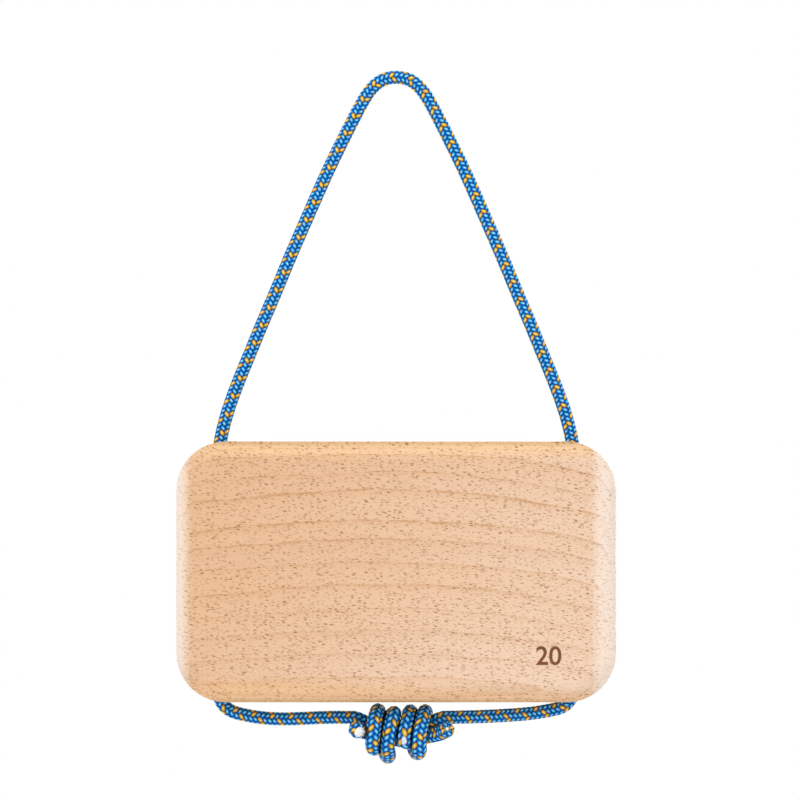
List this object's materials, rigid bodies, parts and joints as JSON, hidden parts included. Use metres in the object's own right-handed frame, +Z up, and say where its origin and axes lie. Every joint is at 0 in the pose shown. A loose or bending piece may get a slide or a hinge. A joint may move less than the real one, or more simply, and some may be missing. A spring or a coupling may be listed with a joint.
{
  "type": "lifting edge block",
  "caption": "Hardwood finger-edge block with two ledges behind, hung on a knotted loop of cord for one-hand lifts.",
  "frame": {"origin": "inside of the loop's top, where a hook or carabiner holds it", "axes": "+X along the block's width to the viewer's right, +Y from the plain front to the ledges behind, +Z up along the hanging cord"},
  "size_m": [0.174, 0.042, 0.2747],
  "materials": {
    "beech": "fine sanded, bare",
    "cord_sheath": "braided",
    "cord_core": "cut fibres"
  },
  "bodies": {
    "loop": {"cord_loop": "cord_sheath"},
    "block": {"block_body": "beech", "cord_bore_left": "cord_sheath", "cord_bore_right": "cord_sheath"},
    "knot": {"cord_lower_left": "cord_sheath", "cord_lower_right": "cord_sheath", "knot_strand_left": "cord_sheath", "knot_strand_right": "cord_sheath", "cord_core_end_left": "cord_core", "cord_core_end_right": "cord_core"}
  },
  "joints": [
    {"name": "block_swing", "type": "hinge", "parent": "loop", "child": "block", "pos_m": [0, 0, -0.139], "axis": [1, 0, 0], "range_deg": [-90, 90]},
    {"name": "knot_swing", "type": "hinge", "parent": "block", "child": "knot", "pos_m": [0, 0, -0.2482], "axis": [1, 0, 0], "range_deg": [-20, 20]}
  ]
}
